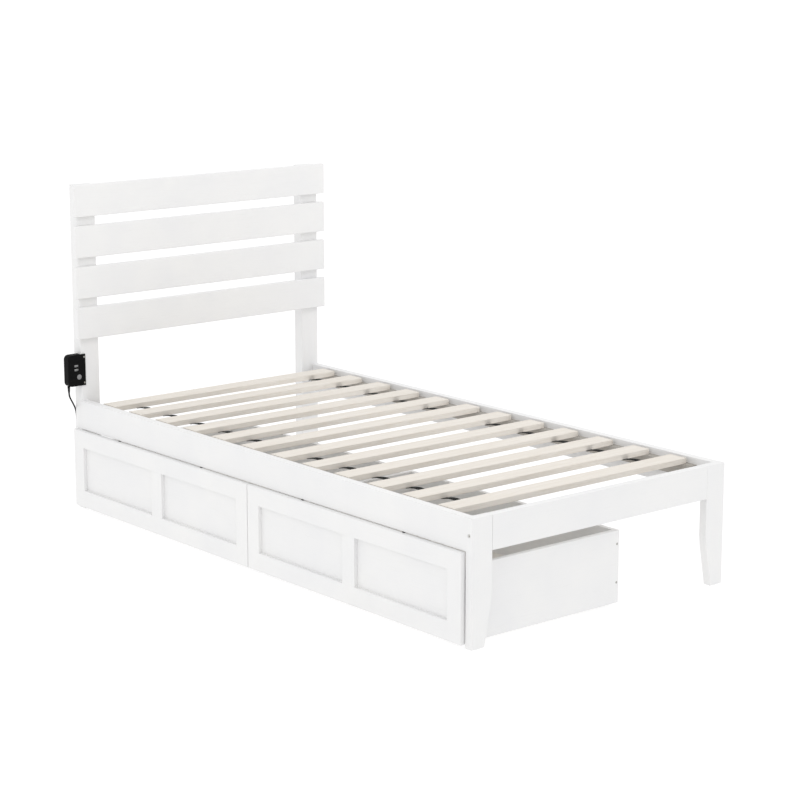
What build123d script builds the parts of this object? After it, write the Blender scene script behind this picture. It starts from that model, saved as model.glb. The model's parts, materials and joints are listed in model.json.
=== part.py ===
"""Single platform bed frame, white painted wood, with pine slats, two roll-out drawers under the
left side and a small charger box on the left head post.

Millimetres. The bed is drawn with X = 0 on its centre line, Y = 0 on the front face of the foot
posts, +Y towards the headboard and Z = 0 on the floor. Every piece is then moved by ORIGIN_SHIFT,
so that the origin is the centre of the footprint of the whole object, cord apart."""
from build123d import *
import os
from math import radians, tan

# frame
FRAME_W = 1048.0          # outer faces of the side rails
LENGTH = 2100.0           # foot post front face to head post back face
RAIL_T = 27.0
RAIL_BOTTOM = 289.0
RAIL_TOP = 391.0
HEAD_POST_W = 74.0
HEAD_POST_T = 44.0
HEAD_POST_INSET = 3.0     # head post outer face, in from the rail's
HEAD_POST_DROP = 3.0      # head post top, below the top board's
FOOT_RAIL_DROP = 4.0      # foot rail bottom, below the side rails'
FOOT_POST_W = 78.0
LEG_BOTTOM_W = 50.0       # foot post at the floor
LEG_TAPER_Z = 150.0       # the taper starts here
LEG_BEND_R = 250.0
GLIDE_R = 11.0
GLIDE_T = 1.5
EASE = 2.0                # rounded long edges of painted wood
SLAT_EASE = 1.6

# headboard
HEADBOARD_TOP = 1147.0
BOARD_L = 1084.0
BOARD_H = 110.5
BOARD_GAP = 31.5
BOARD_T = 20.0
BOARD_COUNT = 4
BOARD_EASE = 3.0

# slats and their straps
SLAT_COUNT = 12
SLAT_L = 968.0
SLAT_W = 70.0
SLAT_T = 18.0
SLAT_TOP = 388.0
SLAT_PITCH = 162.0
SLAT_FIRST_Y = 1942.0     # centre of the slat beside the headboard
PACK = 6                  # slats joined by one pair of straps
STRAP_X = 378.0
STRAP_W = 25.0
STRAP_T = 1.4
STRAP_END = 8.0           # strap ends, in from the edges of a pack's end slats
CLEAT_W = 28.0
CLEAT_H = 38.0
CLEAT_FOOT_Y = 92.0
CLEAT_HEAD_Y = 2030.0

# drawers
FRONT_L = 1027.0
FRONT_FOOT_Y = 31.0       # foot end of the foot drawer's front
FRONT_GAP = 3.0
FRONT_BOTTOM = 13.0
FRONT_TOP = 287.0
FRONT_T = 17.0
FRONT_BACK_X = -521.6     # inner face, just clear of the head post
MEMBER_W = 60.0           # stiles, mullion and rails of a front
PANEL_T = 5.0
BOX_FOOT_INSET = 12.0     # box side, in from the foot end of the front
BOX_L = 970.0
BOX_BACK_X = 108.0
BOX_BOTTOM = 11.0
BOX_TOP = 238.5
BOX_T = 15.0
TRAY_Z = 42.0             # underside of the drawer bottom
TRAY_T = 9.0
GROOVE = 6.0
DRAWER_SCREW_Z = (75.0, 196.0)
DRAWER_SCREW_L = 40.0

# casters
WHEEL_R = 18.0
WHEEL_W = 15.0
TREAD_EDGE_R = 2.5
DISH_R = 12.2
DISH_DEPTH = 2.0
HUB_R = 6.0
AXLE_R = 3.0
AXLE_FIT = 0.05
CASTER_IN_X = 55.0        # wheel centre, in from the front's back face and from the box back
CASTER_IN_Y = 70.0        # wheel centre, in from the box sides
FORK_T = 2.0
FORK_GAP = 0.6            # between wheel and cheek
PLATE_L = 52.0
PLATE_SCREW_OFF = 20.0    # plate screws, each side of the wheel
PLATE_SCREW = {"length": 9.5, "radius": 1.6, "head_r": 3.0, "head_h": 1.4}
CHEEK_R = 9.0             # rounded lower end of a fork's cheek

# charger and its cord
CHARGER_X0 = -576.0
CHARGER_X1 = -505.0
CHARGER_BODY_X1 = -523.0
CHARGER_Y0 = 2051.0
CHARGER_DEPTH = 28.0
FLANGE_T = 5.0
CHARGER_Z0 = 445.0
CHARGER_Z1 = 556.0
CHARGER_CORNER_R = 16.0   # the two left corners, seen from the front
CORD_D = 5.5
CORD_EXIT = (-565.0, 2069.0)
RELIEF_L = 14.0
COIL_CENTRE = (-413.5, 2199.0)
COIL_R = 31.0             # middle of the turns
COIL_W = 17.0
COIL_H = 16.5
CORD_ROUTE = [
    (-565.0, 2069.0, 431.0),
    (-565.0, 2069.0, 418.5),
    (-561.0, 2072.0, 406.0),
    (-550.0, 2080.0, 392.0),
    (-532.0, 2094.0, 371.0),
    (-518.0, 2106.0, 353.0),
    (-511.0, 2112.0, 335.0),
    (-507.0, 2116.0, 311.0),
    (-505.0, 2120.0, 275.0),
    (-504.0, 2124.0, 236.0),
    (-502.0, 2124.0, 180.0),
    (-499.0, 2122.0, 124.0),
    (-495.0, 2123.0, 84.0),
    (-490.0, 2127.0, 52.0),
    (-481.0, 2134.0, 26.0),
    (-468.0, 2144.0, 9.0),
    (-457.0, 2160.0, 2.75),
    (-451.0, 2180.0, 2.75),
    (-450.0, 2199.0, 2.75),
]

HALF_W = FRAME_W / 2
HEAD_Y = LENGTH - HEAD_POST_T          # front face of the head posts
POST_OUT = HALF_W - HEAD_POST_INSET
BED_SHIFT_X = -(CHARGER_X0 + BOARD_L / 2) / 2
ORIGIN_SHIFT = Pos(BED_SHIFT_X, -LENGTH / 2, 0)
UPWARD = (Align.CENTER, Align.CENTER, Align.MIN)


def block(x0, x1, y0, y1, z0, z1):
    """Box between two corners."""
    centre = Pos((x0 + x1) / 2, (y0 + y1) / 2, (z0 + z1) / 2)
    return centre * Box(abs(x1 - x0), abs(y1 - y0), abs(z1 - z0))


def eased(solid, axis, radius=EASE):
    """The same solid with its edges along one axis rounded."""
    return fillet(solid.edges().filter_by(axis), radius)


def softened(solid, radius=EASE):
    """The same solid with every edge rounded."""
    return fillet(solid.edges(), radius)


def placed(start, axis, length, solid):
    """A solid drawn up from the origin, laid along X, Y or Z from a start point."""
    tilt = {"X": Rot(0, 90, 0), "Y": Rot(-90, 0, 0), "Z": Rot(0, 0, 0)}[axis]
    flip = Rot(180, 0, 0) if length < 0 else Rot(0, 0, 0)
    return Pos(*start) * tilt * flip * solid


def rod(start, axis, length, radius):
    """Cylinder from a start point along X, Y or Z, forwards or backwards."""
    return placed(start, axis, length, Cylinder(radius, abs(length), align=UPWARD))


def screw_bore(start, axis, length, radius=2.0, head_r=4.0, head_h=2.4):
    """Space that a countersunk screw fills: head flush at start, point length further on."""
    reach = abs(length)
    head = Cone(head_r, radius, head_h, align=UPWARD)
    shank = Cylinder(radius, reach - 5, align=UPWARD)
    point = Pos(0, 0, reach - 5) * Cone(radius, 0.5, 5, align=UPWARD)
    return placed(start, axis, length, head + shank + point)


def screw(start, axis, length, radius=2.0, head_r=4.0, head_h=2.4):
    """Countersunk wood screw with a cross drive."""
    drive = Box(head_r * 1.1, 1.0, 2.2) + Box(1.0, head_r * 1.1, 2.2)
    body = screw_bore(start, axis, length, radius, head_r, head_h)
    return body - placed(start, axis, length, drive)


def bolt_bore(start, axis, length, radius=3.0, head_r=6.0, head_h=5.0):
    """Space that a bolt fills: the head's outer face at start, the shank's end length on."""
    head = Cylinder(head_r, head_h, align=UPWARD)
    shank = Cylinder(radius, abs(length), align=UPWARD)
    return placed(start, axis, length, head + shank)


def bolt(start, axis, length):
    """Socket-head bolt."""
    socket = extrude(RegularPolygon(2.9, 6), 3.0)
    return bolt_bore(start, axis, length) - placed(start, axis, length, socket)


def write(name, *solids):
    """One node: every solid moved to the object's origin and written to parts/NAME.step."""
    moved = [ORIGIN_SHIFT * s for s in solids]
    shape = moved[0] if len(moved) == 1 else Compound(children=moved)
    shape.label = name
    export_step(shape, f"parts/{name}.step")


def slat_y(index):
    return SLAT_FIRST_Y - SLAT_PITCH * index


def board_z(index):
    """Middle height of a headboard board, 0 at the top."""
    return HEADBOARD_TOP - BOARD_H / 2 - index * (BOARD_H + BOARD_GAP)


# fasteners, made first because the wood is bored for them

BOARD_SCREW_OFF = 30.0     # board screws, above and below the board's middle
BOARD_SCREW_L = 56.0
RAIL_BOLT_Z = (RAIL_BOTTOM + 25, RAIL_TOP - 25)
RAIL_BOLT_L = 95.0
RAIL_NUT_Y = HEAD_Y - 35.0
BOLT_R = 3.0
BOLT_SINK = 1.0            # bolt heads, below the wood's face
FOOT_BOLT_Y = RAIL_T / 2
FOOT_BOLT_Z = 338.0
FOOT_BOLT_L = 120.0
FOOT_NUT_PLACE = HALF_W - FOOT_BOLT_L + 17.0
COUNTERBORE_R = 6.2
NUT_R = 5.0
NUT_L = 16.0
NUT_FACE = 1.5             # how far a barrel nut sits below the wood's face


def board_screws(make=screw):
    """Two from behind each head post into each headboard board."""
    made = []
    for side in (-1, 1):
        x = side * (POST_OUT - HEAD_POST_W / 2)
        for index in range(BOARD_COUNT):
            for dz in (-BOARD_SCREW_OFF, BOARD_SCREW_OFF):
                made.append(make((x, LENGTH, board_z(index) + dz), "Y", -BOARD_SCREW_L))
    return made


def rail_bolts(make=bolt):
    """Two from behind each head post into the end of each side rail."""
    made = []
    for side in (-1, 1):
        for z in RAIL_BOLT_Z:
            start = (side * (HALF_W - RAIL_T / 2), LENGTH - BOLT_SINK, z)
            made.append(make(start, "Y", -RAIL_BOLT_L))
    return made


def foot_bolts(make=bolt):
    """One through each foot post, from its outer side, into the end of the foot rail."""
    made = []
    for side in (-1, 1):
        start = (side * (HALF_W - BOLT_SINK), FOOT_BOLT_Y, FOOT_BOLT_Z)
        made.append(make(start, "X", -side * FOOT_BOLT_L))
    return made


def barrel_nuts():
    """Cross dowels that the bolts screw into: four in the side rails, two in the foot rail."""
    made = []
    hole = BOLT_R + 0.05
    for side in (-1, 1):
        for z in RAIL_BOLT_Z:
            face = side * (HALF_W - RAIL_T + NUT_FACE)
            nut = rod((face, RAIL_NUT_Y, z), "X", side * NUT_L, NUT_R)
            mid = side * (HALF_W - RAIL_T / 2)
            made.append(nut - rod((mid, RAIL_NUT_Y - 15, z), "Y", 30, hole))
        x = side * FOOT_NUT_PLACE
        nut = rod((x, RAIL_T - NUT_FACE, FOOT_BOLT_Z), "Y", -NUT_L - 2, NUT_R)
        made.append(nut - rod((x - 15, FOOT_BOLT_Y, FOOT_BOLT_Z), "X", 30, hole))
    return made


BRACKET_T = 2.5
BRACKET_LEG = 44.0
BRACKET_SCREW_IN = 30.0    # bracket screws, out from the corner
BRACKET_SCREW_L = 20.0
BRACKET_Z = (314.0, 366.0)
BRACKET_SCREW_Z = (327.0, 353.0)


def corner_brackets():
    """Steel angles inside the two foot corners, one leg on the rail, one on the post's back."""
    made = []
    for side in (-1, 1):
        inner = side * (HALF_W - RAIL_T)
        leg_a = block(inner, inner - side * BRACKET_T, RAIL_T, RAIL_T + BRACKET_LEG, *BRACKET_Z)
        leg_b = block(inner, inner - side * BRACKET_LEG, RAIL_T, RAIL_T + BRACKET_T, *BRACKET_Z)
        made.append(leg_a + leg_b)
    return made


def bracket_screws(make=screw):
    """Two through each leg of a corner bracket."""
    made = []
    for side in (-1, 1):
        inner = side * (HALF_W - RAIL_T - BRACKET_T)
        across = side * (HALF_W - RAIL_T - BRACKET_SCREW_IN)
        for z in BRACKET_SCREW_Z:
            made.append(make((inner, RAIL_T + BRACKET_SCREW_IN, z), "X", side * BRACKET_SCREW_L))
            made.append(make((across, RAIL_T + BRACKET_T, z), "Y", -BRACKET_SCREW_L))
    return made


CLEAT_SCREWS = 6
CLEAT_SCREW_IN = 60.0      # end screws, in from the ends of a cleat
CLEAT_SCREW_L = 46.0


def cleat_screws(make=screw):
    """A row through each cleat into its side rail."""
    made = []
    step = (CLEAT_HEAD_Y - CLEAT_FOOT_Y - 2 * CLEAT_SCREW_IN) / (CLEAT_SCREWS - 1)
    for side in (-1, 1):
        face = side * (HALF_W - RAIL_T - CLEAT_W)
        for index in range(CLEAT_SCREWS):
            y = CLEAT_FOOT_Y + CLEAT_SCREW_IN + step * index
            z = SLAT_TOP - SLAT_T - CLEAT_H / 2
            made.append(make((face, y, z), "X", side * CLEAT_SCREW_L))
    return made


CHARGER_SCREW_X = -510.5
CHARGER_SCREW_IN = 10.0    # charger screws, in from the housing's top and bottom
CHARGER_SCREW = {"length": 24.0, "radius": 1.6, "head_r": 3.2, "head_h": 1.8}


def charger_screws(make=screw):
    """Two through the charger's flange into the head post."""
    made = []
    for z in (CHARGER_Z0 + CHARGER_SCREW_IN, CHARGER_Z1 - CHARGER_SCREW_IN):
        made.append(make((CHARGER_SCREW_X, CHARGER_Y0, z), "Y", **CHARGER_SCREW))
    return made


def bored(solid, cutters):
    """The solid less every cutter whose box meets it."""
    for cutter in cutters:
        a, b = solid.bounding_box(), cutter.bounding_box()
        apart = (
            a.max.X < b.min.X or b.max.X < a.min.X
            or a.max.Y < b.min.Y or b.max.Y < a.min.Y
            or a.max.Z < b.min.Z or b.max.Z < a.min.Z
        )
        if not apart:
            solid = solid - cutter
    return solid


SCREW_MAKERS = (board_screws, bracket_screws, cleat_screws, charger_screws)
SCREW_BORES = [bore for maker in SCREW_MAKERS for bore in maker(screw_bore)]
SHANK_BORES = rail_bolts(bolt_bore) + foot_bolts(bolt_bore)


def counterbores():
    """Room round the bolt heads, and the mouths of the holes that the barrel nuts sit in."""
    made = []
    for side in (-1, 1):
        for z in RAIL_BOLT_Z:
            head = (side * (HALF_W - RAIL_T / 2), LENGTH + 1, z)
            made.append(rod(head, "Y", -8, COUNTERBORE_R))
            mouth = (side * (HALF_W - RAIL_T - 1), RAIL_NUT_Y, z)
            made.append(rod(mouth, "X", side * 4, NUT_R))
        head = (side * (HALF_W + 1), FOOT_BOLT_Y, FOOT_BOLT_Z)
        made.append(rod(head, "X", -side * 8, COUNTERBORE_R))
        made.append(rod((side * FOOT_NUT_PLACE, RAIL_T + 1, FOOT_BOLT_Z), "Y", -4, NUT_R))
    return made


FRAME_CUTTERS = SCREW_BORES + SHANK_BORES + barrel_nuts() + counterbores()


# bed frame

def head_post(side):
    out, inn = side * POST_OUT, side * (POST_OUT - HEAD_POST_W)
    post = block(out, inn, HEAD_Y, LENGTH, GLIDE_T, HEADBOARD_TOP - HEAD_POST_DROP)
    return bored(eased(post, Axis.Z, 2.5), FRAME_CUTTERS)


def headboard_board(index):
    z = board_z(index)
    front = HEAD_Y - BOARD_T
    board = block(-BOARD_L / 2, BOARD_L / 2, front, HEAD_Y, z - BOARD_H / 2, z + BOARD_H / 2)
    return bored(softened(board, BOARD_EASE), FRAME_CUTTERS)


def side_rail(side):
    rail = block(side * HALF_W, side * (HALF_W - RAIL_T), RAIL_T, HEAD_Y, RAIL_BOTTOM, RAIL_TOP)
    return bored(eased(rail, Axis.Y), FRAME_CUTTERS)


def foot_post(side):
    """Straight down to the taper, which takes its inner edge in towards the outer face."""
    out, inn = side * HALF_W, side * (HALF_W - FOOT_POST_W)
    low = side * (HALF_W - LEG_BOTTOM_W)
    corners = [(out, GLIDE_T), (out, RAIL_TOP), (inn, RAIL_TOP), (inn, LEG_TAPER_Z), (low, GLIDE_T)]
    face = make_face(Polyline(*corners, close=True))
    bend = face.vertices().sort_by_distance((inn, LEG_TAPER_Z, 0))[0]
    face = fillet(bend, LEG_BEND_R)
    post = Pos(0, RAIL_T, 0) * Rot(90, 0, 0) * extrude(face, RAIL_T)
    long_edges = [e for e in post.edges() if abs(e.center().Y - 0) < 0.01]
    return bored(fillet(long_edges, EASE), FRAME_CUTTERS)


def foot_rail():
    end = HALF_W - FOOT_POST_W
    rail = block(-end, end, 0, RAIL_T, RAIL_BOTTOM - FOOT_RAIL_DROP, RAIL_TOP)
    return bored(eased(rail, Axis.X), FRAME_CUTTERS)


def slat_cleat(side):
    rail_face = side * (HALF_W - RAIL_T)
    top = SLAT_TOP - SLAT_T
    y0, y1 = CLEAT_FOOT_Y, CLEAT_HEAD_Y
    cleat = block(rail_face, rail_face - side * CLEAT_W, y0, y1, top - CLEAT_H, top)
    return bored(cleat, FRAME_CUTTERS)


def slat(index):
    y = slat_y(index)
    board = block(-SLAT_L / 2, SLAT_L / 2, y - SLAT_W / 2, y + SLAT_W / 2,
                  SLAT_TOP - SLAT_T, SLAT_TOP)
    return eased(board, Axis.X, SLAT_EASE)


def slat_straps():
    """Webbing stapled under the slats, one pair of straps for each pack."""
    made = []
    top = SLAT_TOP - SLAT_T
    for first in range(0, SLAT_COUNT, PACK):
        y1 = slat_y(first) + SLAT_W / 2 - STRAP_END
        y0 = slat_y(first + PACK - 1) - SLAT_W / 2 + STRAP_END
        for side in (-1, 1):
            x = side * STRAP_X
            made.append(block(x - STRAP_W / 2, x + STRAP_W / 2, y0, y1, top - STRAP_T, top))
    return made


def post_glides():
    made = []
    places = [
        (s * (POST_OUT - HEAD_POST_W / 2), HEAD_Y + HEAD_POST_T / 2) for s in (-1, 1)
    ] + [(s * (HALF_W - LEG_BOTTOM_W / 2), RAIL_T / 2) for s in (-1, 1)]
    for x, y in places:
        disc = rod((x, y, 0), "Z", GLIDE_T, GLIDE_R)
        made.append(chamfer(disc.edges().sort_by(Axis.Z)[0], 0.7))
    return made


BUMPER_W = 9.0
BUMPER_T = 1.5
BUMPER_X = (-526.0, -510.0)
BUMPER_IN = 271.0          # bumpers, in from the two ends of each drawer front


def drawer_bumpers():
    """Rubber pads under the left rail, two above each drawer front."""
    made = []
    for foot_y in DRAWER_Y.values():
        for y in (foot_y + BUMPER_IN, foot_y + FRONT_L - BUMPER_IN):
            made.append(block(*BUMPER_X, y - BUMPER_W / 2, y + BUMPER_W / 2,
                              RAIL_BOTTOM - BUMPER_T, RAIL_BOTTOM))
    return made


# drawers, each named by its place and drawn from the foot end of its front

DRAWER_Y = {
    "foot_drawer": FRONT_FOOT_Y,
    "head_drawer": FRONT_FOOT_Y + FRONT_L + FRONT_GAP,
}
FRONT_FACE_X = FRONT_BACK_X - FRONT_T


def drawer_front_frame(y0):
    """Two stiles, a mullion and two rails, butted together."""
    x0, x1 = FRONT_FACE_X, FRONT_BACK_X
    y1 = y0 + FRONT_L
    low, high = FRONT_BOTTOM + MEMBER_W, FRONT_TOP - MEMBER_W
    mid = (y0 + y1) / 2
    half = MEMBER_W / 2
    stiles = [
        block(x0, x1, y0, y0 + MEMBER_W, FRONT_BOTTOM, FRONT_TOP),
        block(x0, x1, y1 - MEMBER_W, y1, FRONT_BOTTOM, FRONT_TOP),
    ]
    made = []
    for stile, end in zip(stiles, (0, -1)):
        outer = stile.edges().filter_by(Axis.Z).group_by(Axis.Y)[end]
        made.append(fillet(outer.sort_by(Axis.X)[0], EASE))
    for z0, z1 in ((FRONT_BOTTOM, low), (high, FRONT_TOP)):
        made.append(block(x0, x1, y0 + MEMBER_W, y1 - MEMBER_W, z0, z1))
    made.append(block(x0, x1, mid - half, mid + half, low, high))
    return made


def drawer_panels(y0):
    """Thin panels at the back of the two openings of a front."""
    x0, x1 = FRONT_BACK_X - PANEL_T, FRONT_BACK_X
    mid = y0 + FRONT_L / 2
    half = MEMBER_W / 2
    low, high = FRONT_BOTTOM + MEMBER_W, FRONT_TOP - MEMBER_W
    return [
        block(x0, x1, y0 + MEMBER_W, mid - half, low, high),
        block(x0, x1, mid + half, y0 + FRONT_L - MEMBER_W, low, high),
    ]


def drawer_screws(y0, make=screw):
    """Two through each side into the back, and two for each caster plate."""
    made = []
    foot, head = y0 + BOX_FOOT_INSET, y0 + BOX_FOOT_INSET + BOX_L
    x = BOX_BACK_X - BOX_T / 2
    for z in DRAWER_SCREW_Z:
        made.append(make((x, foot, z), "Y", DRAWER_SCREW_L))
        made.append(make((x, head, z), "Y", -DRAWER_SCREW_L))
    for cx, cy in caster_places(y0):
        for dx in (-PLATE_SCREW_OFF, PLATE_SCREW_OFF):
            made.append(make((cx + dx, cy, TRAY_Z - FORK_T), "Z", **PLATE_SCREW))
    return made


def tray_groove(y0):
    """Space that the drawer bottom takes up in the sides and the back."""
    foot, head = y0 + BOX_FOOT_INSET, y0 + BOX_FOOT_INSET + BOX_L
    return block(FRONT_BACK_X, BOX_BACK_X - BOX_T + GROOVE, foot + BOX_T - GROOVE,
                 head - BOX_T + GROOVE, TRAY_Z, TRAY_Z + TRAY_T)


def drawer_sides(y0):
    cutters = drawer_screws(y0, screw_bore) + [tray_groove(y0)]
    made = []
    for y in (y0 + BOX_FOOT_INSET, y0 + BOX_FOOT_INSET + BOX_L - BOX_T):
        side = block(FRONT_BACK_X, BOX_BACK_X, y, y + BOX_T, BOX_BOTTOM, BOX_TOP)
        made.append(bored(side, cutters))
    return made


def drawer_back(y0):
    foot, head = y0 + BOX_FOOT_INSET + BOX_T, y0 + BOX_FOOT_INSET + BOX_L - BOX_T
    back = block(BOX_BACK_X - BOX_T, BOX_BACK_X, foot, head, BOX_BOTTOM, BOX_TOP)
    return bored(back, drawer_screws(y0, screw_bore) + [tray_groove(y0)])


def caster_places(y0):
    """Wheel centres under a drawer: front foot, front head, back foot, back head."""
    foot = y0 + BOX_FOOT_INSET + CASTER_IN_Y
    head = y0 + BOX_FOOT_INSET + BOX_L - CASTER_IN_Y
    front, back = FRONT_BACK_X + CASTER_IN_X, BOX_BACK_X - CASTER_IN_X
    return [(front, foot), (front, head), (back, foot), (back, head)]


def drawer_bottom(y0):
    return bored(tray_groove(y0), drawer_screws(y0, screw_bore))


def caster_fork(x, y):
    """Plate and two cheeks folded from one strip, and the axle pin riveted in the cheeks."""
    inner = WHEEL_W / 2 + FORK_GAP
    outer = inner + FORK_T
    plate = block(x - PLATE_L / 2, x + PLATE_L / 2, y - outer, y + outer, TRAY_Z - FORK_T, TRAY_Z)
    fork = plate
    for sign in (-1, 1):
        cheek = block(x - CHEEK_R, x + CHEEK_R, y + sign * inner, y + sign * outer,
                      WHEEL_R, TRAY_Z - FORK_T)
        boss = rod((x, y + sign * inner, WHEEL_R), "Y", sign * FORK_T, CHEEK_R)
        fork = fork + cheek + boss
    pin = rod((x, y - outer - 1, WHEEL_R), "Y", 2 * outer + 2, AXLE_R)
    return fork, pin


def drawer_casters(y0):
    made = []
    for x, y in caster_places(y0):
        fork, pin = caster_fork(x, y)
        made.append(bored(fork - pin, drawer_screws(y0, screw_bore)))
        made.append(pin)
    return made


def wheel(x, y):
    """Solid caster wheel with a rounded tread, turning on its pin."""
    tyre = rod((x, y - WHEEL_W / 2, WHEEL_R), "Y", WHEEL_W, WHEEL_R)
    tyre = fillet(tyre.edges().filter_by(GeomType.CIRCLE), TREAD_EDGE_R)
    dish = rod((x, y - WHEEL_W / 2, WHEEL_R), "Y", DISH_DEPTH, DISH_R)
    dish = dish + rod((x, y + WHEEL_W / 2, WHEEL_R), "Y", -DISH_DEPTH, DISH_R)
    hub = rod((x, y - WHEEL_W / 2, WHEEL_R), "Y", WHEEL_W, HUB_R)
    bore = rod((x, y - WHEEL_W, WHEEL_R), "Y", 2 * WHEEL_W, AXLE_R + AXLE_FIT)
    return tyre - (dish - hub) - bore


# charger

PORT_X = -543.0
PORT_Z = (517.0, 503.0)
PORT_W = 14.0
PORT_H = 6.6
PORT_DEPTH = 9.0
LAMP = (-532.0, 477.0)     # round indicator on the front
LAMP_R = 9.0


def charger_sockets():
    """Two small socket shells with their tongues, and a round indicator lens."""
    made = []
    y0, y1 = CHARGER_Y0 - 0.4, CHARGER_Y0 + PORT_DEPTH
    for z in PORT_Z:
        shell = block(PORT_X - PORT_W / 2, PORT_X + PORT_W / 2, y0, y1, z - PORT_H / 2, z + PORT_H / 2)
        hollow = block(PORT_X - PORT_W / 2 + 0.8, PORT_X + PORT_W / 2 - 0.8, y0, y1 - 1,
                       z - PORT_H / 2 + 0.8, z + PORT_H / 2 - 0.8)
        tongue = block(PORT_X - 5, PORT_X + 5, y0 + 1.5, y1 - 1, z - 0.2, z + 1.6)
        made.append(shell - hollow + tongue)
    lens = rod((LAMP[0], CHARGER_Y0 - 0.5, LAMP[1]), "Y", 3.0, LAMP_R)
    made.append(fillet(lens.edges().sort_by(Axis.Y)[0], 0.4))
    return made


def charger_housing():
    """Rounded box beside the post, with a flange over the post's front face."""
    y1 = CHARGER_Y0 + CHARGER_DEPTH
    body = block(CHARGER_X0, CHARGER_BODY_X1, CHARGER_Y0, y1, CHARGER_Z0, CHARGER_Z1)
    flange = block(CHARGER_BODY_X1 - 8, CHARGER_X1, CHARGER_Y0, CHARGER_Y0 + FLANGE_T,
                   CHARGER_Z0, CHARGER_Z1)
    shape = body + flange
    left = shape.edges().filter_by(Axis.Y).group_by(Axis.X)[0]
    shape = fillet(left, CHARGER_CORNER_R)
    rim = shape.faces().sort_by(Axis.Y)[0].edges()
    shape = fillet(rim, 1.5)
    voids = [
        block(PORT_X - PORT_W / 2, PORT_X + PORT_W / 2, CHARGER_Y0 - 1, CHARGER_Y0 + PORT_DEPTH,
              z - PORT_H / 2, z + PORT_H / 2) for z in PORT_Z
    ]
    voids.append(rod((LAMP[0], CHARGER_Y0 - 1, LAMP[1]), "Y", 3.5, LAMP_R))
    return bored(shape, voids + charger_screws(screw_bore))


def cord_relief():
    """Tapered boot under the housing."""
    x, y = CORD_EXIT
    boot = Pos(x, y, CHARGER_Z0 - RELIEF_L) * Cone(3.3, 4.8, RELIEF_L, align=UPWARD)
    for index in range(3):
        notch = Cylinder(6.0, 1.0) - Cylinder(3.4, 1.0)
        boot = boot - Pos(x, y, CHARGER_Z0 - 3.5 - 3.5 * index) * notch
    return boot


def corner_radii(points):
    """Radius of each corner's arc: 0.45 of the shorter run over the tangent of half the turn."""
    radii = []
    for a, b, c in zip(points, points[1:], points[2:]):
        before, after = Vector(*b) - Vector(*a), Vector(*c) - Vector(*b)
        turn = radians(before.get_angle(after))
        radii.append(0.45 * min(before.length, after.length) / tan(turn / 2))
    return radii


def charger_cord():
    """Cord from its boot down behind the head post and along the floor to the coil."""
    radii = corner_radii(CORD_ROUTE)
    path = FilletPolyline(*CORD_ROUTE, radius=radii)
    start = Plane(origin=path @ 0, z_dir=path % 0)
    tube = sweep(start * Circle(CORD_D / 2), path=path)
    print("cord radii", [round(r) for r in radii])
    print("cord tube length", round(path.length), "volume over section times length",
          round(tube.volume / (3.14159265 * (CORD_D / 2) ** 2 * path.length), 4))
    return tube


def cord_coil():
    """Outer shape of the put-away turns."""
    x, y = COIL_CENTRE
    ring = Cylinder(COIL_R + COIL_W / 2, COIL_H, align=UPWARD)
    ring = ring - Cylinder(COIL_R - COIL_W / 2, COIL_H, align=UPWARD)
    ring = fillet(ring.edges().filter_by(GeomType.CIRCLE), 2.6)
    return Pos(x, y, 0) * ring


PLUG_L = 32.0
PLUG_W = 22.0
PLUG_H = 15.0
PLUG_NOSE = 38.0
BLADE_L = 16.0
BLADE_GAP = 12.7
PLUG_FROM_COIL = 62.0      # back of the plug's body, from the coil's centre along Y


def charger_plug():
    """Two-blade mains plug lying on the floor beside the coil, its tapered nose at the coil."""
    x = COIL_CENTRE[0] + COIL_R
    y0 = COIL_CENTRE[1] - PLUG_FROM_COIL
    shell = block(x - PLUG_W / 2, x + PLUG_W / 2, y0 - PLUG_L, y0, 0, PLUG_H)
    shell = fillet(shell.edges().filter_by(Axis.Y), 4.0)
    shell = fillet(shell.faces().sort_by(Axis.Y)[-1].edges(), 2.5)
    nose = placed((x, y0 - 1, PLUG_H / 2), "Y", 1, Cone(4.6, 3.2, PLUG_NOSE, align=UPWARD))
    plug = shell + nose
    for sign in (-1, 1):
        bx = x + sign * BLADE_GAP / 2
        blade = block(bx - 0.75, bx + 0.75, y0 - PLUG_L - BLADE_L, y0 - PLUG_L + 3,
                      PLUG_H / 2 - 3.2, PLUG_H / 2 + 3.2)
        plug = plug + blade
    return plug


def write_frame():
    sides = {"left": -1, "right": 1}
    for name, side in sides.items():
        write(f"head_post_{name}", head_post(side))
        write(f"foot_post_{name}", foot_post(side))
        write(f"side_rail_{name}", side_rail(side))
        write(f"slat_cleat_{name}", slat_cleat(side))
    write("foot_rail", foot_rail())
    for index in range(BOARD_COUNT):
        write(f"headboard_board_{index + 1}", headboard_board(index))
    for index in range(SLAT_COUNT):
        write(f"slat_{index + 1:02d}", slat(index))
    write("slat_straps", *slat_straps())
    write("frame_screws", *[made for maker in SCREW_MAKERS for made in maker()])
    write("frame_bolts", *rail_bolts(), *foot_bolts())
    write("barrel_nuts", *barrel_nuts())
    write("corner_brackets", *[bored(b, SCREW_BORES) for b in corner_brackets()])
    write("post_glides", *post_glides())
    write("drawer_bumpers", *drawer_bumpers())


def write_drawers():
    for name, y0 in DRAWER_Y.items():
        write(f"{name}_front_frame", *drawer_front_frame(y0))
        write(f"{name}_front_panels", *drawer_panels(y0))
        write(f"{name}_sides", *drawer_sides(y0))
        write(f"{name}_back", drawer_back(y0))
        write(f"{name}_bottom", drawer_bottom(y0))
        write(f"{name}_screws", *drawer_screws(y0))
        write(f"{name}_caster_forks", *drawer_casters(y0))
        for index, (x, y) in enumerate(caster_places(y0)):
            write(f"{name}_wheel_{index + 1}", wheel(x, y))


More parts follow.
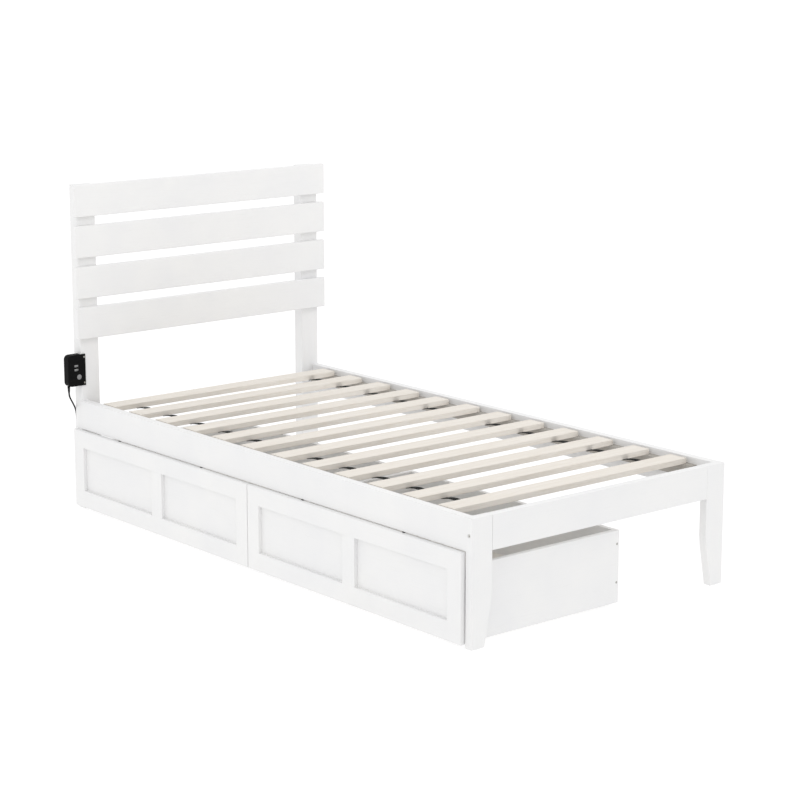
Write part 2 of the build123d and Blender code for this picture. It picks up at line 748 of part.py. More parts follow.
def write_charger():
    write("charger_housing", charger_housing())
    write("charger_sockets", *charger_sockets())
    write("cord_relief", cord_relief())
    write("charger_cord", charger_cord())
    write("cord_coil", cord_coil())
    write("charger_plug", charger_plug())


os.makedirs("parts", exist_ok=True)
write_frame()
write_drawers()
write_charger()
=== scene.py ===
"""Looks of the bed frame: white painted wood, pine slats on black webbing, and a black charger
with its cord."""
import json
from math import cos, pi, radians, sin, sqrt

import bmesh
import bpy
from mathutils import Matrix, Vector


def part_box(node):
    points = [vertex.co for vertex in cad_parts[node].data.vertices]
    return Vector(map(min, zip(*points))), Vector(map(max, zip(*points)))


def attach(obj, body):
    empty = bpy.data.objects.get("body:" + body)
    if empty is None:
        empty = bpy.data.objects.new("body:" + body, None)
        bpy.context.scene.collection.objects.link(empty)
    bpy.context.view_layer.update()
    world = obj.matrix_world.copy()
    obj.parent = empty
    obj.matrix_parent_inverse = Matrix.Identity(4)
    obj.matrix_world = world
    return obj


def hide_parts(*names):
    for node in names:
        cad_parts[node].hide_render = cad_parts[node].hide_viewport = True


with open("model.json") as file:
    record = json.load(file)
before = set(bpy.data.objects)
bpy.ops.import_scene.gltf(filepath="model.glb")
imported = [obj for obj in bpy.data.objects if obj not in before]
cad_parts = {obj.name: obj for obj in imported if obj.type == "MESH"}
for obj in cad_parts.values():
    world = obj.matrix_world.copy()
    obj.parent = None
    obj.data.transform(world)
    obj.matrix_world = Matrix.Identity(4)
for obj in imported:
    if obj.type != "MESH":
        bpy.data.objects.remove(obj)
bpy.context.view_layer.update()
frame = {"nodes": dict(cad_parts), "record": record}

MM = 0.001
nodes = frame["nodes"]
slot_of = {s["node"]: s["material_slot"] for s in frame["record"]["subparts"]}


# camera: a long lens looking at the bed from in front of its left foot post

CAMERA_AZIMUTH = -39.836
CAMERA_ELEVATION = 12.177
CAMERA_DISTANCE = 7.0
CAMERA_TARGET = Vector((-0.2419, -0.4144, 0.5918))
CAMERA_LENS = 102.285


def looking_direction(azimuth, elevation):
    """Unit vector from the camera into the scene; azimuth 0 looks along +Y."""
    a, e = radians(azimuth), radians(elevation)
    return Vector((-sin(a) * cos(e), cos(a) * cos(e), -sin(e)))


def make_camera():
    data = bpy.data.cameras.new("camera")
    data.sensor_width = 36.0
    data.lens = CAMERA_LENS
    data.clip_end = 200.0
    camera = bpy.data.objects.new("camera", data)
    aim = looking_direction(CAMERA_AZIMUTH, CAMERA_ELEVATION)
    camera.location = CAMERA_TARGET - aim * CAMERA_DISTANCE
    camera.rotation_euler = aim.to_track_quat("-Z", "Y").to_euler()
    bpy.context.scene.collection.objects.link(camera)
    bpy.context.scene.camera = camera


make_camera()


# stage and light

def area_light(name, place, aim, size, power):
    data = bpy.data.lights.new(name, "AREA")
    data.shape = "RECTANGLE"
    data.size, data.size_y = size
    data.energy = power
    lamp = bpy.data.objects.new(name, data)
    lamp.location = place
    lamp.rotation_euler = (Vector(aim) - Vector(place)).to_track_quat("-Z", "Y").to_euler()
    bpy.context.scene.collection.objects.link(lamp)


def make_world(strength):
    world = bpy.data.worlds.new("studio")
    world.use_nodes = True
    background = world.node_tree.nodes["Background"]
    background.inputs["Color"].default_value = (1.0, 1.0, 1.0, 1.0)
    background.inputs["Strength"].default_value = strength
    bpy.context.scene.world = world


FLOOR_HALF = 80.0
FLOOR_GLOW = 0.80


def make_floor():
    """A wide white light table."""
    mesh = bpy.data.meshes.new("floor")
    half = FLOOR_HALF
    corners = [(-half, -half, 0), (half, -half, 0), (half, half, 0), (-half, half, 0)]
    mesh.from_pydata(corners, [], [(0, 1, 2, 3)])
    floor = bpy.data.objects.new("floor", mesh)
    bpy.context.scene.collection.objects.link(floor)
    material = bpy.data.materials.new("floor_white")
    material.use_nodes = True
    shader = material.node_tree.nodes["Principled BSDF"]
    shader.inputs["Base Color"].default_value = (0.25, 0.25, 0.25, 1.0)
    shader.inputs["Roughness"].default_value = 0.9
    shader.inputs["Emission Color"].default_value = (1.0, 1.0, 1.0, 1.0)
    shader.inputs["Emission Strength"].default_value = FLOOR_GLOW
    mesh.materials.append(material)


bpy.context.scene.view_settings.view_transform = "Standard"
make_world(1.0)
make_floor()
area_light("key_left", (-4.5, -1.0, 3.2), (0.0, 0.0, 0.3), (4.0, 4.0), 14.0)
area_light("fill_front", (1.0, -5.5, 3.4), (0.0, 0.0, 0.4), (4.0, 3.0), 2.5)
area_light("fill_head", (0.2, -0.9, 2.7), (0.0, 0.95, 0.75), (3.0, 1.2), 8.0)


# material building

class Graph:
    """A material's node tree with short calls for adding and linking nodes."""

    def __init__(self, name):
        self.material = bpy.data.materials.new(name)
        self.material.use_nodes = True
        self.tree = self.material.node_tree
        self.shader = self.tree.nodes["Principled BSDF"]

    def add(self, kind, settings=None, **inputs):
        """A node with its settings, and each input linked to a socket or set to a value."""
        node = self.tree.nodes.new(kind)
        for key, value in (settings or {}).items():
            setattr(node, key, value)
        for key, value in inputs.items():
            numbered = key[0] == "i" and key[1:].isdigit()
            self.feed(node, int(key[1:]) if numbered else key.replace("_", " "), value)
        return node

    def feed(self, node, key, value):
        socket = node.inputs[key]
        if isinstance(value, bpy.types.NodeSocket):
            self.tree.links.new(value, socket)
        else:
            socket.default_value = value

    def math(self, operation, a, b=0.0, clamp=False):
        node = self.add("ShaderNodeMath", {"operation": operation, "use_clamp": clamp}, i0=a, i1=b)
        return node.outputs[0]

    def place(self, scale=(1.0, 1.0, 1.0)):
        """Object coordinates in metres, scaled."""
        coordinates = self.add("ShaderNodeTexCoord").outputs["Object"]
        node = self.add("ShaderNodeMapping", Vector=coordinates, Scale=scale)
        return node.outputs[0]

    def noise(self, where, scale, detail=3.0, rough=0.5, distort=0.0):
        node = self.add("ShaderNodeTexNoise", Vector=where, Scale=scale, Detail=detail,
                        Roughness=rough, Distortion=distort)
        return node.outputs["Fac"]

    def spread(self, value, low, high, to_low=0.0, to_high=1.0):
        node = self.add("ShaderNodeMapRange", {"clamp": True}, Value=value)
        node.inputs["From Min"].default_value = low
        node.inputs["From Max"].default_value = high
        node.inputs["To Min"].default_value = to_low
        node.inputs["To Max"].default_value = to_high
        return node.outputs["Result"]

    def blend(self, amount, a, b):
        """Colour a where amount is 0, b where it is 1."""
        node = self.add("ShaderNodeMix", {"data_type": "RGBA"})
        self.feed(node, 0, amount)
        self.feed(node, 6, a)
        self.feed(node, 7, b)
        return node.outputs[2]

    def bump(self, height, distance, strength=1.0, normal=None):
        node = self.add("ShaderNodeBump", Height=height, Distance=distance, Strength=strength)
        if normal is not None:
            self.feed(node, "Normal", normal)
        return node.outputs[0]

    def edge(self, radius):
        """1 along sharp edges and 0 on flat faces, from how far a rounded normal turns."""
        soft = self.add("ShaderNodeBevel", {"samples": 4}, Radius=radius).outputs[0]
        true = self.add("ShaderNodeNewGeometry").outputs["Normal"]
        dot = self.add("ShaderNodeVectorMath", {"operation": "DOT_PRODUCT"}, i0=soft, i1=true)
        return soft, self.spread(dot.outputs["Value"], 0.995, 0.75)

    def finish(self, **inputs):
        for key, value in inputs.items():
            self.feed(self.shader, key.replace("_", " "), value)
        return self.material


def rgb(r, g, b):
    return (r, g, b, 1.0)


def tinted(colour, tint):
    return rgb(*(c * t for c, t in zip(colour, tint)))


ALONG = {"X": (0.05, 1.0, 1.0), "Y": (1.0, 0.05, 1.0), "Z": (1.0, 1.0, 0.05)}


def painted_wood(name, along, upright=None, tint=(1.0, 1.0, 1.0)):
    """Satin white paint over wood. along is the grain's axis. upright gives the places along Y, and
    the half width, of members whose grain stands upright instead."""
    g = Graph(name)
    grain = g.noise(g.place(ALONG[along]), 260.0, 5.0, 0.62, 0.3)
    pores = g.noise(g.place(ALONG[along]), 900.0, 2.0, 0.5)
    if upright:
        y = g.add("ShaderNodeSeparateXYZ", Vector=g.place()).outputs["Y"]
        inside = 0.0
        for middle in upright["middles"]:
            off = g.math("ABSOLUTE", g.math("SUBTRACT", y, middle))
            inside = g.math("ADD", inside, g.math("LESS_THAN", off, upright["half"]))
        standing = g.noise(g.place(ALONG["Z"]), 260.0, 5.0, 0.62, 0.3)
        grain = g.math("ADD", g.math("MULTIPLY", standing, inside),
                       g.math("MULTIPLY", grain, g.math("SUBTRACT", 1.0, inside)))
    cloud = g.noise(g.place(), 5.0, 3.0, 0.55)
    brushed = g.noise(g.place(ALONG[along]), 55.0, 2.0, 0.5)
    soft, edge = g.edge(0.0012)
    rubbed = g.spread(g.noise(g.place(), 38.0, 4.0, 0.7), 0.52, 0.74)
    worn = g.math("MULTIPLY", edge, rubbed, True)
    cool, warm = tinted((0.80, 0.80, 0.805), tint), tinted((0.835, 0.832, 0.826), tint)
    tone = g.blend(g.spread(cloud, 0.3, 0.7), cool, warm)
    tone = g.blend(g.spread(grain, 0.56, 0.8, 0.0, 0.22), tone, tinted((0.70, 0.695, 0.68), tint))
    tone = g.blend(g.math("MULTIPLY", worn, 0.35), tone, rgb(0.66, 0.62, 0.55))
    height = g.math("ADD", g.math("MULTIPLY", grain, 0.7), g.math("MULTIPLY", pores, 0.15))
    height = g.math("ADD", height, g.math("MULTIPLY", brushed, 0.5))
    shine = g.math("ADD", cloud, g.math("MULTIPLY", grain, 0.4))
    rough = g.spread(shine, 0.45, 0.95, 0.36, 0.52)
    return g.finish(Base_Color=tone, Roughness=rough, Normal=g.bump(height, 0.0004, 0.35, soft),
                    Specular_IOR_Level=0.45, Coat_Weight=0.08, Coat_Roughness=0.3)


def pine(name, along, pale=1.0):
    """Planed bare pine: narrow growth bands drawn out along the grain, and a few small knots. pale
    below 1 darkens all of its colours as painted shade.
    """
    g = Graph(name)
    stretch = {"X": (0.035, 1.0, 1.0), "Y": (1.0, 0.035, 1.0), "Z": (1.0, 1.0, 0.035)}[along]
    knotty = {"X": (0.35, 1.0, 1.0), "Y": (1.0, 0.35, 1.0), "Z": (1.0, 1.0, 0.35)}[along]
    sway = g.noise(g.place(stretch), 14.0, 2.0, 0.5)
    bands = g.noise(g.place(stretch), 75.0, 3.0, 0.55, 0.8)
    swing = g.math("MULTIPLY", g.math("ADD", bands, sway), 17.0)
    rings = g.math("ABSOLUTE", g.math("SINE", swing))
    fibre = g.noise(g.place(stretch), 620.0, 3.0, 0.6)
    cells = g.add("ShaderNodeTexVoronoi", {"feature": "F1"}, Vector=g.place(knotty), Scale=5.2)
    lot = g.add("ShaderNodeSeparateColor", Color=cells.outputs["Color"]).outputs[0]
    chosen = g.math("GREATER_THAN", lot, 0.78)
    knot = g.math("MULTIPLY", g.spread(cells.outputs["Distance"], 0.055, 0.03), chosen)
    cloud = g.noise(g.place(), 4.0, 2.0, 0.5)
    soft, edge = g.edge(0.0010)
    shade = (pale, pale, pale)
    light, dark = tinted((0.785, 0.745, 0.69), shade), tinted((0.70, 0.64, 0.565), shade)
    tone = g.blend(g.spread(rings, 0.55, 1.0, 0.0, 0.5), light, dark)
    tone = g.blend(g.spread(fibre, 0.5, 0.8, 0.0, 0.25), tone, dark)
    tone = g.blend(g.spread(cloud, 0.35, 0.7, 0.0, 0.3), tone, tinted((0.77, 0.718, 0.645), shade))
    tone = g.blend(knot, tone, rgb(0.36, 0.23, 0.13))
    tone = g.blend(g.math("MULTIPLY", edge, 0.3), tone, light)
    height = g.math("ADD", g.math("MULTIPLY", fibre, 0.6), g.math("MULTIPLY", rings, 0.35))
    rough = g.spread(fibre, 0.3, 0.8, 0.52, 0.7)
    return g.finish(Base_Color=tone, Roughness=rough, Normal=g.bump(height, 0.0004, 0.5, soft),
                    Specular_IOR_Level=0.3)


WARP_PITCH = 0.0022    # metres from one thread to the next
WEFT_PITCH = 0.0016


def webbing(name):
    """Black woven strap with its threads crossing, along Y."""
    g = Graph(name)
    p = g.add("ShaderNodeSeparateXYZ", Vector=g.place())
    warp = g.math("SINE", g.math("MULTIPLY", p.outputs["X"], 2 * pi / WARP_PITCH))
    weft = g.math("SINE", g.math("MULTIPLY", p.outputs["Y"], 2 * pi / WEFT_PITCH))
    weave = g.math("MULTIPLY", warp, weft)
    fuzz = g.noise(g.place(), 1600.0, 2.0, 0.6)
    tone = g.blend(g.spread(weave, -1.0, 1.0), rgb(0.003, 0.003, 0.003), rgb(0.010, 0.010, 0.010))
    height = g.math("ADD", weave, g.math("MULTIPLY", fuzz, 0.5))
    return g.finish(Base_Color=tone, Roughness=g.spread(fuzz, 0.3, 0.7, 0.72, 0.9),
                    Normal=g.bump(height, 0.0003, 0.8), Specular_IOR_Level=0.12,
                    Sheen_Weight=0.04, Sheen_Roughness=0.4)


def moulding(name, colour, rough, grit=1400.0, depth=0.00008, gloss=0.5):
    """Moulded plastic or rubber with a fine texture, rubbed smoother and paler along its edges."""
    g = Graph(name)
    fine = g.noise(g.place(), grit, 2.0, 0.6)
    cloud = g.noise(g.place(), 30.0, 3.0, 0.5)
    soft, edge = g.edge(0.0006)
    pale = rgb(*(c * 1.7 + 0.004 for c in colour))
    tone = g.blend(g.spread(cloud, 0.3, 0.7), rgb(*colour), rgb(*(c * 1.25 for c in colour)))
    tone = g.blend(g.math("MULTIPLY", edge, 0.4), tone, pale)
    shine = g.math("ADD", cloud, g.math("MULTIPLY", fine, 0.5))
    roughness = g.spread(shine, 0.4, 1.1, rough - 0.07, rough + 0.09)
    return g.finish(Base_Color=tone, Roughness=roughness, Normal=g.bump(fine, depth, 0.6, soft),
                    Specular_IOR_Level=gloss)


def zinc(name, light=(0.50, 0.50, 0.485), dark=(0.40, 0.39, 0.35)):
    """Zinc-plated steel with fine scratches and a faintly yellow cast."""
    g = Graph(name)
    patch = g.noise(g.place(), 140.0, 4.0, 0.6)
    scratch = g.noise(g.place((1.0, 0.12, 1.0)), 2400.0, 2.0, 0.5)
    tone = g.blend(g.spread(patch, 0.35, 0.7), rgb(*light), rgb(*dark))
    rough = g.spread(g.math("ADD", patch, scratch), 0.6, 1.3, 0.24, 0.44)
    return g.finish(Base_Color=tone, Metallic=1.0, Roughness=rough,
                    Normal=g.bump(scratch, 0.00004, 0.4))


def bare_metal(name, colour):
    """Bright stamped metal of sockets and plug blades."""
    g = Graph(name)
    scratch = g.noise(g.place((1.0, 0.2, 1.0)), 3000.0, 2.0, 0.5)
    tone = g.blend(g.spread(scratch, 0.4, 0.7), rgb(*colour), rgb(*(c * 0.8 for c in colour)))
    rough = g.spread(scratch, 0.3, 0.7, 0.2, 0.34)
    return g.finish(Base_Color=tone, Metallic=1.0, Roughness=rough,
                    Normal=g.bump(scratch, 0.00003, 0.4))


def front_uprights(drawer):
    """Where the stiles and the mullion of a drawer front stand along Y, and half their width."""
    low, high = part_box(f"{drawer}_front_frame")
    panel_low, panel_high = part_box(f"{drawer}_front_panels")
    width = panel_low.y - low.y
    middles = (low.y + width / 2, (low.y + high.y) / 2, high.y - width / 2)
    return {"middles": middles, "half": width / 2}


paint = {axis: painted_wood(f"white_paint_{axis.lower()}", axis) for axis in "XYZ"}
# The pine for the slat cleats is darkened to half: painted shade, as the cleats lie in the shadow of
# the side rails.
pine_x, pine_y_painted_shade = pine("pine_across", "X"), pine("pine_along", "Y", 0.50)
steel = zinc("zinc_steel")
bolt_steel = zinc("bolt_steel", (0.74, 0.74, 0.725), (0.64, 0.63, 0.60))
bright = bare_metal("bright_metal", (0.60, 0.60, 0.60))
port_tongue = moulding("port_tongue", (0.45, 0.45, 0.46), 0.4)
lens_grey = moulding("lens_grey", (0.20, 0.20, 0.205), 0.3)
SLOT_MATERIAL = {
    "pine": pine_x,
    "zinc_steel": steel,
    "glide_plastic": moulding("glide_plastic", (0.74, 0.74, 0.72), 0.5),
    "bumper_rubber": moulding("bumper_rubber", (0.018, 0.018, 0.018), 0.75),
    "black_plastic": moulding("black_plastic", (0.0028, 0.0028, 0.003), 0.62, gloss=0.10),
    "socket_plastic": lens_grey,
    "cord_rubber": moulding("cord_rubber", (0.003, 0.003, 0.0032), 0.66, 900.0, 0.00005, 0.12),
    "wheel_plastic": moulding("wheel_plastic", (0.03, 0.03, 0.032), 0.4),
    "webbing": webbing("webbing"),
    "drawer_board": painted_wood("drawer_board", "Y", tint=(0.89, 0.865, 0.81)),
}
GRAIN = {
    "Z": ("head_post_left", "head_post_right", "foot_post_left", "foot_post_right"),
    "Y": ("side_rail_left", "side_rail_right", "foot_drawer_back", "head_drawer_back"),
}


def material_for(name):
    if name == "frame_bolts":
        return bolt_steel
    if slot_of[name] != "white_paint":
        # the slat cleats get the half-dark pine, painted shade
        return pine_y_painted_shade if name.startswith("slat_cleat") else SLOT_MATERIAL[slot_of[name]]
    for axis, names in GRAIN.items():
        if name in names:
            return paint[axis]
    if name.endswith("front_frame"):
        return painted_wood(name + "_paint", "Y", front_uprights(name.replace("_front_frame", "")))
    if name.endswith("front_panels"):
        return paint["Y"]
    return paint["X"]


def dress_nodes():
    for name, node in nodes.items():
        material = material_for(name)
        node.data.materials.clear()
        node.data.materials.append(material)


dress_nodes()


# meshes

def new_piece(name, mesh, material, body="frame"):
    piece = bpy.data.objects.new(name, mesh)
    bpy.context.scene.collection.objects.link(piece)
    mesh.materials.append(material)
    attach(piece, body)
    return piece


def solid_mesh(name, vertices, faces):
    """A mesh with its normals outwards, smooth but for its sharp edges."""
    mesh = bpy.data.meshes.new(name)
    mesh.from_pydata(vertices, [], faces)
    tidy = bmesh.new()
    tidy.from_mesh(mesh)
    bmesh.ops.recalc_face_normals(tidy, faces=tidy.faces)
    tidy.to_mesh(mesh)
    tidy.free()
    mesh.shade_smooth()
    mesh.set_sharp_from_angle(angle=radians(38))
    return mesh


def skin(rings, first=0, closed=False):
    """Faces over rings of points, with a cap at each end or the last ring joined to the first."""
    n = len(rings[0])
    count = len(rings)
    faces = []
    for k in range(count if closed else count - 1):
        near, far = first + k * n, first + (k + 1) % count * n
        for j in range(n):
            after = (j + 1) % n
            faces.append((near + j, near + after, far + after, far + j))
    if not closed:
        faces.append(tuple(range(first, first + n)))
        faces.append(tuple(range(first + (count - 1) * n, first + count * n)))
    return faces


def loft(name, *lofts, closed=False):
    """One mesh of a skin over each list of rings."""
    vertices, faces = [], []
    for rings in lofts:
        faces += skin(rings, len(vertices), closed)
        vertices += [tuple(point) for ring in rings for point in ring]
    return solid_mesh(name, vertices, faces)


def oval(half_a, half_b, power=2.0, count=32):
    """Points round an oval, rounder at power 2 and squarer above it."""
    points = []
    for k in range(count):
        c, s = cos(2 * pi * k / count), sin(2 * pi * k / count)
        a = half_a * abs(c) ** (2 / power) * (1 if c >= 0 else -1)
        b = half_b * abs(s) ** (2 / power) * (1 if s >= 0 else -1)
        points.append((a, b))
    return points


def facing_y(x, y, z, half_x, half_z, power=2.0, count=32):
    """A ring that stands across the Y axis."""
    return [(x + a, y, z + b) for a, b in oval(half_x, half_z, power, count)]


def facing_z(x, y, z, radius):
    """A level ring."""
    return [(x + a, y + b, z) for a, b in oval(radius, radius)]


# straps

STRAP_T = 1.4 * MM
STRAP_W = 25.0 * MM
STRAP_END = 8.0 * MM       # strap ends, in from the edges of a pack's end slats
STRAP_RISE = 7.0 * MM      # stiff webbing arches up between the slats
ARCH_STEPS = 8


def strap_line(y0, y1, top, slats):
    """Points down the middle of a strap's upper face: level under a slat, arched between two."""
    points = [(y0, top)]
    for (low, high), after in zip(slats, slats[1:] + [None]):
        points.append((low, top))
        points.append((min(high, y1), top))
        if after:
            for step in range(1, ARCH_STEPS):
                share = step / ARCH_STEPS
                rise = STRAP_RISE * 4 * share * (1 - share)
                points.append((high + (after[0] - high) * share, top + rise))
    kept = [p for p in points if y0 <= p[0] <= y1] + [(y1, top)]
    return sorted(set(kept))


def strap_mesh(name, x, width, line):
    """A flat ribbon with rounded edges that follows a line in the YZ plane."""
    profile = [(-0.5, -0.5), (-0.46, -0.95), (0.46, -0.95)]
    profile += [(0.5, -0.5), (0.46, -0.03), (-0.46, -0.03)]
    rings = [[(x + u * width, y, z + w * STRAP_T) for u, w in profile] for y, z in line]
    return loft(name, rings)


def slat_spans():
    """Low and high Y of every slat, from the foot upwards."""
    boxes = [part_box(name) for name in nodes if name.startswith("slat_") and name[5:].isdigit()]
    return sorted((low.y, high.y) for low, high in boxes)


def make_straps():
    low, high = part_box("slat_straps")
    width = STRAP_W
    spans = slat_spans()
    half = len(spans) // 2
    for pack, slats in enumerate((spans[:half], spans[half:])):
        y0, y1 = slats[0][0] + STRAP_END, slats[-1][1] - STRAP_END
        for side, x in (("left", low.x + width / 2), ("right", high.x - width / 2)):
            name = f"strap_{('foot', 'head')[pack]}_{side}"
            mesh = strap_mesh(name, x, width, strap_line(y0, y1, high.z, slats))
            piece = new_piece(name, mesh, SLOT_MATERIAL["webbing"])
            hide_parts("slat_straps")


def make_staples():
    """Two wire staples through the strap into the underside of every slat."""
    low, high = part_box("slat_straps")
    wires = []
    for y0, y1 in slat_spans():
        for x in (low.x + STRAP_W / 2, high.x - STRAP_W / 2):
            for y in (y0 * 0.72 + y1 * 0.28, y0 * 0.28 + y1 * 0.72):
                wires.append(staple_rings(x, y, high.z - STRAP_T))
    mesh = loft("strap_staples", *wires)
    new_piece("strap_staples", mesh, steel)


def staple_rings(x, y, z):
    """A staple's crown across the strap, its two ends turned up into the webbing."""
    rings = []
    for along, up in ((-5.4, 0.6), (-4.8, -0.2), (4.8, -0.2), (5.4, 0.6)):
        wire = oval(0.3, 0.5, 2.5, 8)
        rings.append([(x + along * MM, y + b * MM, z + (up + a) * MM) for a, b in wire])
    return rings


make_straps()
make_staples()


# charger ports and lens

PORT_HALF_X = 7.0 * MM
PORT_HALF_Z = 3.3 * MM
PORT_DEPTH = 9.2 * MM
PORT_PITCH = 14.0 * MM
PORT_WALL = 0.8 * MM
TONGUE_HALF_X = 5.0 * MM
TONGUE_HALF_Z = 0.9 * MM
TONGUE_RISE = 0.7 * MM
LENS_R = 9.0 * MM


def port_shell(x, z, front, deep, half_x, half_z):
    """An open box of thin steel, its mouth towards -Y."""
    inner_x, inner_z = half_x - PORT_WALL, half_z - PORT_WALL
    return [
        facing_y(x, front + deep, z, half_x, half_z, 9.0, 40),
        facing_y(x, front + 0.3 * MM, z, half_x, half_z, 9.0, 40),
        facing_y(x, front, z, half_x - 0.3 * MM, half_z - 0.3 * MM, 9.0, 40),
        facing_y(x, front + 0.2 * MM, z, inner_x, inner_z, 9.0, 40),
        facing_y(x, front + deep - 1.0 * MM, z, inner_x, inner_z, 9.0, 40),
    ]


def make_ports():
    low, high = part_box("charger_sockets")
    front = low.y + 0.1 * MM
    x = low.x + PORT_HALF_X
    heights = (high.z - PORT_HALF_Z, high.z - PORT_HALF_Z - PORT_PITCH)
    shells = [port_shell(x, z, front, PORT_DEPTH, PORT_HALF_X, PORT_HALF_Z) for z in heights]
    tongues = []
    for z in heights:
        level = z + TONGUE_RISE
        ends = (front + 1.4 * MM, front + 8.4 * MM)
        tongues.append([facing_y(x, y, level, TONGUE_HALF_X, TONGUE_HALF_Z, 9.0, 24) for y in ends])
    lens_x, lens_z, r = high.x - LENS_R, low.z + LENS_R, LENS_R
    steps = [(1.6, 1.0), (-0.3, 1.0), (-0.5, 0.96), (-0.5, 0.86), (-0.15, 0.83), (-0.15, 0.79)]
    steps += [(-0.5, 0.76), (-0.8, 0.5), (-0.9, 0.2)]
    face = low.y + 0.5 * MM
    dome = [facing_y(lens_x, face + y * MM, lens_z, r * k, r * k, 2.0, 48) for y, k in steps]
    pieces = [
        new_piece("charger_port_shells", loft("charger_port_shells", *shells), bright),
        new_piece("charger_port_tongues", loft("charger_port_tongues", *tongues), port_tongue),
        new_piece("charger_lens", loft("charger_lens", dome), lens_grey),
    ]
    for piece in pieces:
        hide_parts("charger_sockets")


make_ports()


# charger cord, coil and plug

CORD_D = 5.5 * MM
DRAWING_SHIFT = Vector((0.017, -1.05, 0.0))
# the route that the CAD tube takes from the boot down to the floor, in the bed's drawing frame
ROUTE = [
    (-0.565, 2.069, 0.431),
    (-0.565, 2.069, 0.4185),
    (-0.561, 2.072, 0.406),
    (-0.550, 2.080, 0.392),
    (-0.532, 2.094, 0.371),
    (-0.518, 2.106, 0.353),
    (-0.511, 2.112, 0.335),
    (-0.507, 2.116, 0.311),
    (-0.505, 2.120, 0.275),
    (-0.504, 2.124, 0.236),
    (-0.502, 2.124, 0.180),
    (-0.499, 2.122, 0.124),
    (-0.495, 2.123, 0.084),
    (-0.490, 2.127, 0.052),
    (-0.481, 2.134, 0.026),
    (-0.468, 2.144, 0.009),
    (-0.457, 2.160, 0.00275),
    (-0.451, 2.180, 0.00275),
]
COIL_CENTRE = Vector((-0.4135, 2.199, 0.0))
COIL_R = 0.031
CORD_STEP = CORD_D                  # from one turn to the next beside it
FIRST_Z, SECOND_Z, THIRD_Z = 0.00275, 0.00825, 0.01375
TURN_POINTS = 16
SHIFT_FROM, SHIFT_TO = 0.72, 0.97   # the stretch of a turn in which it moves to the next place
CLIMB_FROM = 0.42                   # where a turn that also moves sideways starts to climb
# radius and height of the turns: three inwards, three outwards on top of them, and half a turn
TURNS = [
    (COIL_R + CORD_STEP, FIRST_Z), (COIL_R, FIRST_Z), (COIL_R - CORD_STEP, FIRST_Z),
    (COIL_R - CORD_STEP, SECOND_Z), (COIL_R, SECOND_Z), (COIL_R + CORD_STEP, SECOND_Z),
    (COIL_R, THIRD_Z),
]
LAST_TURN_SHARE = 0.5
# from the last turn down to the plug's nose, off the coil's centre
TAIL = [(0.031, -0.013, 0.0136), (0.031, -0.025, 0.012), (0.031, -0.037, 0.0092),
        (0.031, -0.048, 0.0076)]


def coil_place(t):
    """Radius and height at t turns from the coil's start."""
    turn = min(int(t), len(TURNS) - 1)
    r, z = TURNS[turn]
    if turn + 1 == len(TURNS):
        return r, z
    part = t - turn
    r_next, z_next = TURNS[turn + 1]
    share = min(max((part - SHIFT_FROM) / (SHIFT_TO - SHIFT_FROM), 0.0), 1.0)
    if z_next > z and r_next == r:
        dip = CORD_D / 2 * sqrt(sin(pi * share)) if 0 < share < 1 else 0.0
        return r - dip, z + (z_next - z) * share
    if z_next > z:
        early = min(max((part - CLIMB_FROM) / (SHIFT_FROM - CLIMB_FROM), 0.0), 1.0)
        return r + (r_next - r) * share, z + (z_next - z) * early
    return r + (r_next - r) * share, z


def coil_points():
    """The turns, clockwise from above, from the coil's -X side."""
    whole = len(TURNS) - 1 + LAST_TURN_SHARE
    count = int(whole * TURN_POINTS)
    made = []
    for k in range(count + 1):
        t = k / TURN_POINTS
        r, z = coil_place(t)
        angle = pi - 2 * pi * t
        made.append(COIL_CENTRE + Vector((r * cos(angle), r * sin(angle), z)))
    return made


def cord_points():
    tail = [COIL_CENTRE + Vector(p) for p in TAIL]
    return [Vector(p) + DRAWING_SHIFT for p in ROUTE + coil_points() + tail]


def make_flex():
    curve = bpy.data.curves.new("charger_flex", "CURVE")
    curve.dimensions = "3D"
    spline = curve.splines.new("NURBS")
    points = cord_points()
    spline.points.add(len(points) - 1)
    for point, place in zip(spline.points, points):
        point.co = (*place, 1.0)
    spline.order_u = 3
    spline.use_endpoint_u = True
    curve.resolution_u = 6
    curve.bevel_depth = CORD_D / 2
    curve.bevel_resolution = 5
    curve.use_fill_caps = True
    return new_piece("charger_flex", curve, SLOT_MATERIAL["cord_rubber"])


def make_relief():
    """Moulded boot under the housing: a collar, then ribs and grooves that taper to the cord."""
    x, y, _ = Vector(ROUTE[0]) + DRAWING_SHIFT
    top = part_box("cord_relief")[1].z
    rings = [facing_z(x, y, top, 5.6 * MM), facing_z(x, y, top - 1.2 * MM, 5.6 * MM)]
    rings.append(facing_z(x, y, top - 1.6 * MM, 4.9 * MM))
    for rib in range(5):
        z = top - (3.0 + 3.6 * rib) * MM
        r = (4.9 - 0.26 * rib) * MM
        rings += [facing_z(x, y, z, r), facing_z(x, y, z - 0.3 * MM, r - 0.8 * MM)]
        rings += [facing_z(x, y, z - 1.3 * MM, r - 0.8 * MM), facing_z(x, y, z - 1.6 * MM, r)]
    rings.append(facing_z(x, y, top - 22.0 * MM, 3.4 * MM))
    mesh = loft("charger_boot", rings)
    boot = new_piece("charger_boot", mesh, SLOT_MATERIAL["cord_rubber"])
    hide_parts("cord_relief")


BLADE_HALF_SPACING = 6.35 * MM
PLUG_NOSE = 37.0           # millimetres from the profile's zero to the nose of the boot


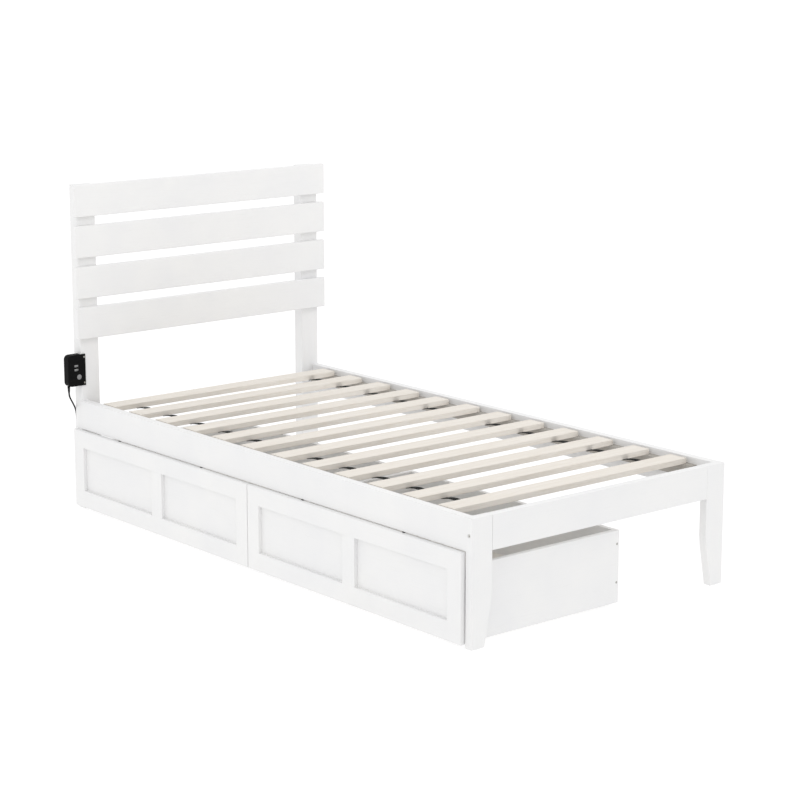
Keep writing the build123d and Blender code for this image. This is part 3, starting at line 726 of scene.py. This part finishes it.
def plug_profile():
    """Offset along Y, half width, half height and squareness, from the nose to the blades' face."""
    steps = [(PLUG_NOSE, 3.0, 3.0, 2.0), (36.6, 3.5, 3.5, 2.0)]
    for rib in range(7):
        y, r = 35.4 - 4.6 * rib, 3.6 + 0.22 * rib
        steps += [(y, r, r, 2.0), (y - 0.3, r - 0.7, r - 0.7, 2.0)]
        steps += [(y - 1.7, r - 0.7, r - 0.7, 2.0), (y - 2.0, r, r, 2.0)]
    steps += [(3.2, 5.2, 5.0, 2.1), (1.6, 6.4, 5.6, 2.3), (0.2, 8.4, 6.5, 2.8), (-1.4, 9.8, 7.0, 3.2)]
    steps += [(-4.0, 10.7, 7.3, 3.6), (-8.0, 10.8, 7.4, 3.8)]
    for groove in range(4):
        y = -10.0 - 3.0 * groove
        steps += [(y, 10.3, 7.3, 3.8), (y - 0.4, 9.8, 7.1, 3.8)]
        steps += [(y - 1.4, 9.8, 7.1, 3.8), (y - 1.8, 10.3, 7.3, 3.8)]
    steps += [(-23.5, 10.9, 7.4, 4.0), (-29.5, 11.0, 7.5, 4.2), (-31.2, 10.7, 7.2, 4.2)]
    steps += [(-31.9, 10.0, 6.5, 4.2), (-32.0, 9.0, 5.6, 4.2)]
    return steps


def make_plug():
    low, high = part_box("charger_plug")
    x, z = (low.x + high.x) / 2, 7.5 * MM
    back = high.y - PLUG_NOSE * MM
    rings = [
        facing_y(x, back + y * MM, z, a * MM, b * MM, power, 40) for y, a, b, power in plug_profile()
    ]
    body = new_piece("plug_body", loft("plug_body", rings), SLOT_MATERIAL["black_plastic"])
    prongs = []
    for side in (-1, 1):
        px = x + side * BLADE_HALF_SPACING
        ends = [(-30.0, 0.75, 3.2), (-46.2, 0.75, 3.2), (-47.5, 0.55, 2.5), (-48.0, 0.35, 1.9)]
        prongs.append([facing_y(px, back + y * MM, z, a * MM, b * MM, 7.0, 24) for y, a, b in ends])
    blades = new_piece("plug_blades", loft("plug_blades", *prongs), bright)
    for piece in (body, blades):
        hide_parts("charger_plug")
    return [body, blades]


TIE_T = 0.9 * MM
TIE_HALF_W = 4.0 * MM
TIE_FLAT_HALF_W = 3.6 * MM
TIE_OFF_Y = 9.0 * MM


def make_tie():
    """A soft black band round the coil's turns, on its +X side."""
    centre = COIL_CENTRE + DRAWING_SHIFT + Vector((COIL_R, 0.0, 0.0))
    rings = []
    for a, b in oval(9.1 * MM, 8.45 * MM, 3.2, 40):
        out = Vector((a, 0.0, b)).normalized() * TIE_T
        mid = Vector((centre.x + a, centre.y + TIE_OFF_Y, 8.5 * MM + b))
        width = Vector((0.0, TIE_FLAT_HALF_W, 0.0))
        edge = Vector((0.0, TIE_HALF_W, 0.0))
        rings.append([mid - width, mid - edge + out * 0.5, mid - width + out,
                      mid + width + out, mid + edge + out * 0.5, mid + width])
    low_z = min(point.z for ring in rings for point in ring)
    lift = Vector((0.0, 0.0, max(0.0, -low_z)))
    rings = [[point + lift for point in ring] for ring in rings]
    mesh = loft("coil_tie", rings, closed=True)
    return new_piece("coil_tie", mesh, SLOT_MATERIAL["webbing"])


flex = make_flex()
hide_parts("charger_cord", "cord_coil")
make_relief()
make_plug() + [make_tie()]
